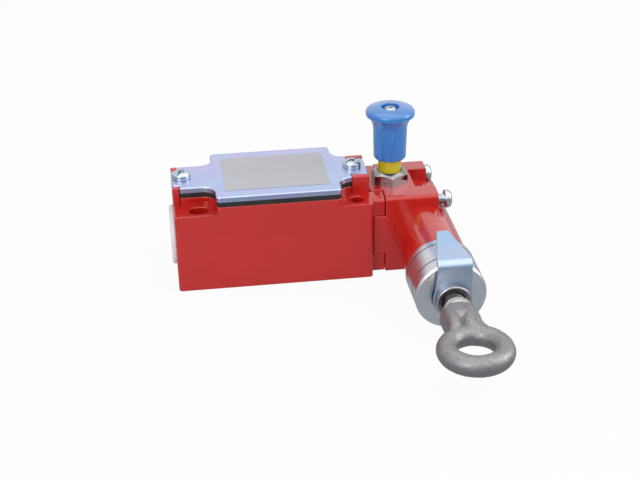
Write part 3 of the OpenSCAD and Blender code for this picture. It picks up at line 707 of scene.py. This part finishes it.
CAM_R, CAM_FOOT, WAIST_R = 6.775, -12.7, 3.6
SPINDLE_R, GROOVE_R, GROOVE = 5, 4.6, (13.3, 14.5)
STUD_R, STUD_FROM, STUD_TO = 3.62, 66.2, 82
rod = turned([(0, CAM_FOOT), (CAM_R, CAM_FOOT), (WAIST_R, 0), (WAIST_R, 3), (SPINDLE_R, 3.8),
              (SPINDLE_R, GROOVE[0]), (GROOVE_R, GROOVE[0]), (GROOVE_R, GROOVE[1]),
              (SPINDLE_R, GROOVE[1]), (SPINDLE_R, STUD_FROM),
              (STUD_R, STUD_FROM), (STUD_R, STUD_TO - 0.6), (3.1, STUD_TO), (0, STUD_TO)],
             {1: 0.3, 2: 0.6, 4: 0.2}, 4)
add(rod, thread(3.8, 1.25, 14.4, STUD_TO - 0.8, 0.19))
# The spindle gets the near-black finish as painted shadow on its stud.
piece("spindle_rod", add(bmesh.new(), rod, along_spindle(0)), "spindle", finish="shadowed_stud_steel")


# ---------------------------------------------------------------- forged eye

def drawn_bar(stations, segments=40):
    """A bar of oval section along Z. Each station is (x, z, half width, half thickness) in mm."""
    bm = bmesh.new()
    ring = bmesh.ops.create_circle(bm, cap_ends=False, segments=segments, radius=MM)["verts"]
    x, z, width, thick = stations[0]
    bmesh.ops.scale(bm, vec=(width, thick, 1), verts=ring)
    bmesh.ops.translate(bm, vec=Vector((x, 0, z)) * MM, verts=ring)
    edges = bm.edges[:]
    for next_x, next_z, next_width, next_thick in stations[1:]:
        grown = bmesh.ops.extrude_edge_only(bm, edges=edges)["geom"]
        ring = [part for part in grown if isinstance(part, bmesh.types.BMVert)]
        edges = [part for part in grown if isinstance(part, bmesh.types.BMEdge)]
        bmesh.ops.translate(bm, vec=Vector((-x, 0, -z)) * MM, verts=ring)
        bmesh.ops.scale(bm, vec=(next_width / width, next_thick / thick, 1), verts=ring)
        bmesh.ops.translate(bm, vec=Vector((next_x, 0, next_z)) * MM, verts=ring)
        x, z, width, thick = next_x, next_z, next_width, next_thick
    bmesh.ops.holes_fill(bm, edges=bm.edges, sides=0)
    return closed(bm)


def drawn_ring(radius, bar, at, steps=120):
    """A round bar bent into a ring about Y."""
    bm = bmesh.new()
    bmesh.ops.create_circle(bm, cap_ends=False, segments=40, radius=bar * MM,
                            matrix=Matrix.Translation((radius * MM, 0, 0)) @ Matrix.Rotation(0, 4, "X"))
    bmesh.ops.spin(bm, geom=bm.verts[:] + bm.edges[:], cent=(0, 0, 0), axis=(0, 1, 0), angle=FULL_TURN,
                   steps=steps, use_merge=True)
    bmesh.ops.translate(bm, vec=Vector(at) * MM, verts=bm.verts)
    return closed(bm)


def forged(bm, grain_mm, rounds, pitting_mm):
    """Melts overlapping bars into one forging, and gives its skin the unevenness of the scale."""
    lump = as_object("forging", bm, "forged_steel")
    melt = lump.modifiers.new("melt", "REMESH")
    melt.mode = "VOXEL"
    melt.voxel_size = grain_mm * MM
    bm = evaluated(lump)
    remove(lump)
    for _ in range(rounds):
        bmesh.ops.smooth_vert(bm, verts=bm.verts, factor=0.5,
                              use_axis_x=True, use_axis_y=True, use_axis_z=True)
    bm.normal_update()
    for vert in bm.verts:
        coarse = noise.noise(vert.co / (2.6 * MM))
        fine = noise.noise(vert.co / (0.9 * MM))
        vert.co += vert.normal * pitting_mm * MM * (0.6 * coarse + 0.4 * fine)
    return bm


# The eye's bars, as (x, z, half width, half thickness) in mm; z runs from the turned end towards the ring.
WEB = [(-0.4, -1, 6.6, 5.25), (-0.5, 3, 7.0, 5.3), (-0.6, 6, 7.1, 5.35), (-0.6, 9, 7.0, 5.3),
       (-0.6, 10.6, 6.9, 4.8), (-0.6, 11.8, 6.8, 3.4), (-0.5, 13, 6.6, 2.3), (-0.3, 16, 6.2, 2.1),
       (0, 18, 5.2, 2.0), (0.2, 19.4, 4, 2.0)]
LEFT_RIDGE = [(-3.3, -1, 3.4, 4.9), (-3.7, 4, 3.6, 5.05), (-3.9, 8, 3.5, 5.25), (-3.9, 11, 3.2, 5.3),
              (-3.9, 12.6, 3.2, 5.2), (-4.0, 14.2, 3.1, 5.0), (-4.3, 16, 3.0, 4.6), (-5.1, 18, 2.9, 3.9),
              (-6.6, 20.4, 3.0, 3.6)]
RIGHT_RIDGE = [(2.2, -1, 3.2, 4.9), (2.2, 4, 3.6, 5.05), (2.0, 8, 3.7, 5.25), (1.7, 11, 3.4, 5.3),
               (1.3, 12.6, 3.2, 5.2), (1.3, 14.2, 3.1, 5.0), (1.9, 16, 3.0, 4.6), (3.6, 18, 2.9, 3.9),
               (6.3, 20.4, 3.0, 3.6)]
RIGHT_SHOULDER = [(3.4, 3, 2.6, 3.6), (3.8, 8, 2.7, 3.9), (4.0, 12, 2.4, 3.7), (4.6, 15, 2.4, 3.4),
                  (6.2, 18, 2.6, 3.2)]
# The turned end, as (radius, z) in mm: everything outside this cone is cut away.
CONE = [(4.85, 0), (5.05, 0.2), (5.2, 1.5), (5.5, 3), (6.3, 4.3), (7.3, 5.6), (7.7, 6.3)]
STUD_HOLE_R, STUD_HOLE_DEPTH = 4.02, 8.5
BAND_TO, BAND_HALF, BAND_HEIGHT = 3.9, 4, 4.6

eye = drawn_ring(9.65, 3.68, (0.2, 0, 27.1))
for stations in (WEB, LEFT_RIDGE, RIGHT_RIDGE, RIGHT_SHOULDER):
    add(eye, drawn_bar(stations))
eye = forged(eye, 0.34, 4, 0.10)
eye = carve(eye, turned([(0, STUD_HOLE_DEPTH), (STUD_HOLE_R, STUD_HOLE_DEPTH), (STUD_HOLE_R, 0.4), (4.4, 0),
                         *CONE, (20, 7), (20, 46), (0, 46)]), "INTERSECT")
turned_end = eye.faces.layers.float.new("turned_end")
for face in eye.faces:
    at = face.calc_center_median() / MM
    reach = math.hypot(at.x, at.y)
    on_cone = any(z0 <= at.z <= z1 and abs(reach - (r0 + (r1 - r0) * (at.z - z0) / (z1 - z0))) < 0.04
                  for (r0, z0), (r1, z1) in zip(CONE, CONE[1:]))
    on_band = at.z < BAND_TO and abs(at.x) < BAND_HALF and abs(at.y) > BAND_HEIGHT
    if on_cone or on_band or at.z < 0.01:
        face[turned_end] = 1.0
piece("forged_ring_eye", add(bmesh.new(), eye, along_spindle(EYE_FACE_Y)), "rope_eye", angle=30)


# ---------------------------------------------------------------- floor, light and camera

FLOOR_GAP = 0.2 * MM


def shader_tree(owner):
    owner.use_nodes = True
    return owner.node_tree


def stage_floor():
    """A pale floor that keeps the shadow: white to the camera, and dim grey in the metal's reflections."""
    bm = bmesh.new()
    bmesh.ops.create_grid(bm, x_segments=2, y_segments=2, size=3)
    bmesh.ops.translate(bm, vec=(0, 0, cad_bounds[0].z - FLOOR_GAP), verts=bm.verts)
    mesh = bpy.data.meshes.new("floor")
    bm.to_mesh(mesh)
    bm.free()
    floor = bpy.data.objects.new("floor", mesh)
    bpy.context.scene.collection.objects.link(floor)
    material = bpy.data.materials.new("pale_floor")
    tree = shader_tree(material)
    diffuse = tree.nodes["Principled BSDF"]
    diffuse.inputs["Base Color"].default_value = (0.80, 0.80, 0.81, 1)
    diffuse.inputs["Roughness"].default_value = 0.9
    rays = tree.nodes.new("ShaderNodeLightPath")
    surface = diffuse.outputs[0]
    glows = (("Is Camera Ray", (1, 1, 1, 1), 0.94), ("Is Glossy Ray", (0.40, 0.42, 0.46, 1), 0.9))
    for ray, colour, share in glows:
        glow = tree.nodes.new("ShaderNodeEmission")
        glow.inputs["Color"].default_value = colour
        part = tree.nodes.new("ShaderNodeMath")
        part.operation = "MULTIPLY"
        part.inputs[1].default_value = share
        mix = tree.nodes.new("ShaderNodeMixShader")
        tree.links.new(rays.outputs[ray], part.inputs[0])
        tree.links.new(part.outputs[0], mix.inputs[0])
        tree.links.new(surface, mix.inputs[1])
        tree.links.new(glow.outputs[0], mix.inputs[2])
        surface = mix.outputs[0]
    tree.links.new(surface, tree.nodes["Material Output"].inputs["Surface"])
    mesh.materials.append(material)


def white_room():
    """Pale grey to the camera; reflections see it bright above and behind, and darker low in front."""
    world = bpy.data.worlds.new("white_room")
    bpy.context.scene.world = world
    tree = shader_tree(world)
    dim = tree.nodes["Background"]
    dim.inputs["Color"].default_value = (1, 1, 1, 1)
    dim.inputs["Strength"].default_value = 0.36
    place = tree.nodes.new("ShaderNodeTexCoord")
    toward = tree.nodes.new("ShaderNodeVectorMath")
    toward.operation = "DOT_PRODUCT"
    toward.inputs[1].default_value = Vector((0.05, 0.55, 0.83)).normalized()
    tree.links.new(place.outputs["Object"], toward.inputs[0])
    shade = tree.nodes.new("ShaderNodeValToRGB")
    shade.color_ramp.elements[0].color = (0.22, 0.23, 0.26, 1)
    shade.color_ramp.elements[1].color = (1, 1, 1, 1)
    height = tree.nodes.new("ShaderNodeMapRange")
    height.inputs["From Min"].default_value = -0.5
    height.inputs["From Max"].default_value = 0.2
    tree.links.new(toward.outputs["Value"], height.inputs["Value"])
    tree.links.new(height.outputs["Result"], shade.inputs["Fac"])
    mirrored = tree.nodes.new("ShaderNodeBackground")
    tree.links.new(shade.outputs["Color"], mirrored.inputs["Color"])
    white = tree.nodes.new("ShaderNodeBackground")
    rays = tree.nodes.new("ShaderNodeLightPath")
    surface = dim.outputs[0]
    seen = (("Is Glossy Ray", mirrored), ("Is Transmission Ray", white), ("Is Camera Ray", white))
    for ray, background in seen:
        mix = tree.nodes.new("ShaderNodeMixShader")
        tree.links.new(rays.outputs[ray], mix.inputs[0])
        tree.links.new(surface, mix.inputs[1])
        tree.links.new(background.outputs[0], mix.inputs[2])
        surface = mix.outputs[0]
    tree.links.new(surface, tree.nodes["World Output"].inputs["Surface"])


def softbox(name, at, aim, size, watts):
    light = bpy.data.lights.new(name, "AREA")
    light.shape = "RECTANGLE"
    light.size, light.size_y = size
    light.energy = watts
    lamp = bpy.data.objects.new(name, light)
    lamp.location = at
    lamp.rotation_mode = "QUATERNION"
    lamp.rotation_quaternion = (Vector(aim) - Vector(at)).to_track_quat("-Z", "Y")
    bpy.context.scene.collection.objects.link(lamp)


def camera():
    view = bpy.data.cameras.new("camera")
    view.sensor_width = 36
    view.lens = 75.93
    view.clip_start, view.clip_end = 0.01, 20
    eye = bpy.data.objects.new("camera", view)
    eye.location = (-0.0427, -0.4704, 0.2588)
    eye.rotation_mode = "QUATERNION"
    looking = Vector((0.1123, 0.8764, -0.4683))
    roll = Quaternion((0, 0, 1), math.radians(-0.825))
    eye.rotation_quaternion = looking.to_track_quat("-Z", "Y") @ roll
    bpy.context.scene.collection.objects.link(eye)
    bpy.context.scene.camera = eye


stage_floor()
white_room()
middle = (0.01, -0.03, 0.03)
softbox("top_softbox", (0.1, -0.1, 0.7), middle, (1.3, 1.3), 4.4)
softbox("front_softbox", (-0.45, -0.75, 0.45), middle, (0.5, 0.5), 3.2)
softbox("right_softbox", (0.7, -0.1, 0.35), middle, (0.4, 0.4), 1.8)
camera()
bpy.context.scene.view_settings.view_transform = "Standard"
